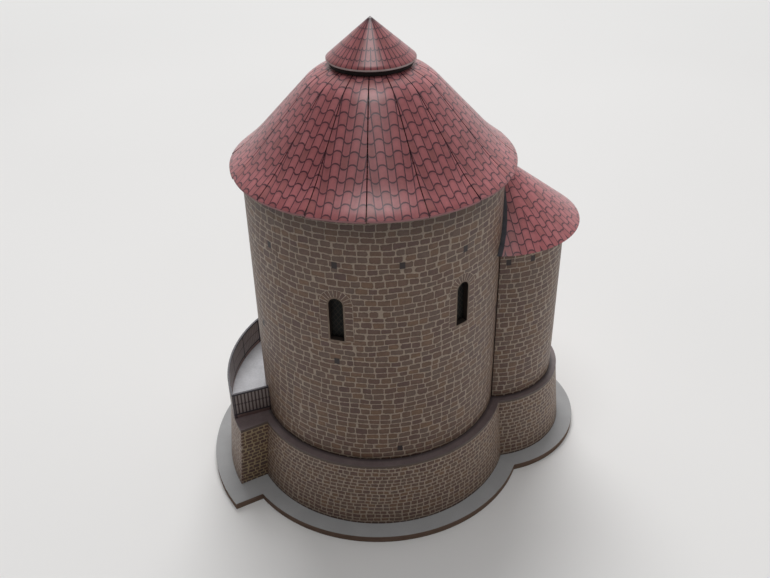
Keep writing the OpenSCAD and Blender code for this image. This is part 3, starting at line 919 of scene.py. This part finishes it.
class ROTUNDA_OT_walls(bpy.types.Operator):
    """Print stonework on the drum, the apse, the plinth and the terrace"""

    bl_idname = "rotunda.walls"
    bl_label = "Stone walls"

    def execute(self, context):
        inks = context.scene.rotunda_stonework
        give(["drum_wall_1", "drum_wall_2", "drum_wall_3"], drum_print(inks))
        give(["apse_wall"], apse_print(inks))
        give(["plinth_wall"], plinth_print(inks))
        give(["terrace_wall_outer"], terrace_print(inks, False))
        give(["terrace_wall_front", "terrace_wall_back"], terrace_print(inks, True))
        give(["window_linings", "door_lining"], reveal_print(inks))
        return {"FINISHED"}


class ROTUNDA_OT_openings(bpy.types.Operator):
    """Print the window panes and the door"""

    bl_idname = "rotunda.openings"
    bl_label = "Windows and door"

    def execute(self, context):
        inks = context.scene.rotunda_card
        give(["window_panes"], pane_print(inks))
        give(["door_leaf"], door_print(inks))
        return {"FINISHED"}


class ROTUNDA_OT_terrace(bpy.types.Operator):
    """Finish the deck and print the railings"""

    bl_idname = "rotunda.terrace"
    bl_label = "Deck and railings"

    def execute(self, context):
        inks = context.scene.rotunda_card
        give(["plinth_deck"], deck_print(inks))
        give(["railing_outer"], rail_print(inks, False))
        give(["railing_front", "railing_back"], rail_print(inks, True))
        return {"FINISHED"}


class ROTUNDA_OT_base_board(bpy.types.Operator):
    """Finish the base board"""

    bl_idname = "rotunda.base_board"
    bl_label = "Base board"

    def execute(self, context):
        give(["base_board"], board_print(context.scene.rotunda_card))
        return {"FINISHED"}


# --- Stage -------------------------------------------------------------------------------------


def aim(thing, place, target):
    thing.location = place
    thing.rotation_mode = "QUATERNION"
    thing.rotation_quaternion = (Vector(target) - Vector(place)).to_track_quat("-Z", "Y")


def soft_lamp(name, place, size, power):
    lamp = bpy.data.lights.new(name, "AREA")
    lamp.shape = "DISK"
    lamp.size = size
    lamp.energy = power
    thing = bpy.data.objects.new(name, lamp)
    bpy.context.scene.collection.objects.link(thing)
    aim(thing, place, LAMP_TARGET)


def set_table(colour):
    """Pale table top that fades into the backdrop far from the model."""
    bm = bmesh.new()
    bmesh.ops.create_circle(bm, cap_ends=True, segments=96, radius=TABLE_R)
    bmesh.ops.translate(bm, verts=bm.verts[:], vec=(0.0, 0.0, -TABLE_DROP * MM))
    mesh = bpy.data.meshes.new("table_top")
    bm.to_mesh(mesh)
    bm.free()
    s = Sheet("table_paint", 0.7, 0.2)
    clouds = s.step(s.noise(s.place, 0.004, 2.0), 0.3, 0.7, 0.985, 1.015)
    s.feed(s.shader.inputs["Base Color"], s.shade(colour, clouds))
    _, away = s.polar()
    sight = s.nodes.new("ShaderNodeLightPath").outputs["Is Camera Ray"]
    far = s.do("MULTIPLY", s.step(away, *TABLE_FADE), sight)
    wall = s.nodes.new("ShaderNodeEmission")
    wall.inputs["Color"].default_value = (*seen(*BACKDROP), 1.0)
    mix = s.nodes.new("ShaderNodeMixShader")
    for socket, term in zip(mix.inputs, (far, s.shader.outputs[0], wall.outputs[0])):
        s.feed(socket, term)
    s.links.new(mix.outputs[0], s.output.inputs[0])
    mesh.materials.append(s.material)
    table = bpy.data.objects.new("table_top", mesh)
    bpy.context.scene.collection.objects.link(table)


def set_room(stage):
    """Soft light that glows more on some sides, and a pale backdrop past the table."""
    world = bpy.data.worlds.new("pale_room")
    world.use_nodes = True
    nodes, links = world.node_tree.nodes, world.node_tree.links
    nodes.clear()
    soft, backdrop = nodes.new("ShaderNodeBackground"), nodes.new("ShaderNodeBackground")
    soft.inputs[0].default_value = (1.0, 1.0, 1.0, 1.0)
    towards = nodes.new("ShaderNodeSeparateXYZ")
    links.new(nodes.new("ShaderNodeTexCoord").outputs["Generated"], towards.inputs[0])
    total = None
    glows = (("Y", 1.0, stage.behind), ("X", -1.0, stage.left), ("X", 1.0, stage.right))
    for axis, way, level in glows:
        toward, glow = nodes.new("ShaderNodeMath"), nodes.new("ShaderNodeMath")
        toward.operation, glow.operation = "MULTIPLY", "MULTIPLY_ADD"
        toward.use_clamp = True
        links.new(towards.outputs[axis], toward.inputs[0])
        toward.inputs[1].default_value = way
        links.new(toward.outputs[0], glow.inputs[0])
        glow.inputs[1].default_value = level
        if total is None:
            glow.inputs[2].default_value = stage.ambient
        else:
            links.new(total, glow.inputs[2])
        total = glow.outputs[0]
    links.new(total, soft.inputs[1])
    backdrop.inputs[0].default_value = (*seen(*BACKDROP), 1.0)
    backdrop.inputs[1].default_value = 1.0
    path = nodes.new("ShaderNodeLightPath")
    straight = nodes.new("ShaderNodeMath")
    straight.operation = "MAXIMUM"
    links.new(path.outputs["Is Camera Ray"], straight.inputs[0])
    links.new(path.outputs["Is Transmission Ray"], straight.inputs[1])
    mix, output = nodes.new("ShaderNodeMixShader"), nodes.new("ShaderNodeOutputWorld")
    links.new(straight.outputs[0], mix.inputs[0])
    links.new(soft.outputs[0], mix.inputs[1])
    links.new(backdrop.outputs[0], mix.inputs[2])
    links.new(mix.outputs[0], output.inputs[0])
    bpy.context.scene.world = world


def set_camera(lens):
    camera = bpy.data.cameras.new("camera")
    camera.lens = lens
    camera.sensor_width = SENSOR
    camera.clip_start, camera.clip_end = 0.01, 10.0
    thing = bpy.data.objects.new("camera", camera)
    bpy.context.scene.collection.objects.link(thing)
    turn = Matrix((CAMERA_RIGHT, CAMERA_UP, CAMERA_RIGHT.cross(CAMERA_UP))).transposed().to_4x4()
    thing.matrix_world = Matrix.Translation(CAMERA_PLACE * MM) @ turn
    bpy.context.scene.camera = thing


class ROTUNDA_OT_stage(bpy.types.Operator):
    """Set the pale table, the lamps and the camera"""

    bl_idname = "rotunda.stage"
    bl_label = "Table and lamps"

    def execute(self, context):
        stage = context.scene.rotunda_stage
        set_table(stage.floor)
        set_room(stage)
        soft_lamp("lamp_over", *LAMP_OVER, stage.top)
        soft_lamp("lamp_back", *LAMP_BACK, stage.back)
        set_camera(stage.lens)
        context.scene.view_settings.view_transform = "Standard"
        return {"FINISHED"}


class ROTUNDA_PT_panel(bpy.types.Panel):
    """Pieces of the card rotunda"""

    bl_label = "Card Rotunda"
    bl_idname = "ROTUNDA_PT_panel"
    bl_space_type = "VIEW_3D"
    bl_region_type = "UI"
    bl_category = "Rotunda"

    def draw(self, context):
        scene = context.scene
        for group in (scene.rotunda_stonework, scene.rotunda_tiles, scene.rotunda_card,
                      scene.rotunda_stage):
            box = self.layout.box()
            for name in group.bl_rna.properties.keys():
                if name not in ("rna_type", "name"):
                    box.prop(group, name)
        for step in STEPS:
            self.layout.operator(step.bl_idname)


STEPS = (
    ROTUNDA_OT_base_board, ROTUNDA_OT_walls, ROTUNDA_OT_openings, ROTUNDA_OT_terrace,
    ROTUNDA_OT_roof_gores, ROTUNDA_OT_roof_cap, ROTUNDA_OT_apse_roof, ROTUNDA_OT_stage,
)
GROUPS = {
    "rotunda_stonework": RotundaStonework,
    "rotunda_tiles": RotundaTiles,
    "rotunda_card": RotundaCard,
    "rotunda_stage": RotundaStage,
}


def register():
    for cls in (*GROUPS.values(), *STEPS, ROTUNDA_PT_panel):
        bpy.utils.register_class(cls)
    for name, cls in GROUPS.items():
        setattr(bpy.types.Scene, name, bpy.props.PointerProperty(type=cls))


def unregister():
    for name in GROUPS:
        delattr(bpy.types.Scene, name)
    for cls in reversed((*GROUPS.values(), *STEPS, ROTUNDA_PT_panel)):
        bpy.utils.unregister_class(cls)


def main():
    register()
    for step in STEPS:
        group, name = step.bl_idname.split(".")
        getattr(getattr(bpy.ops, group), name)()


if __name__ == "__main__":
    main()
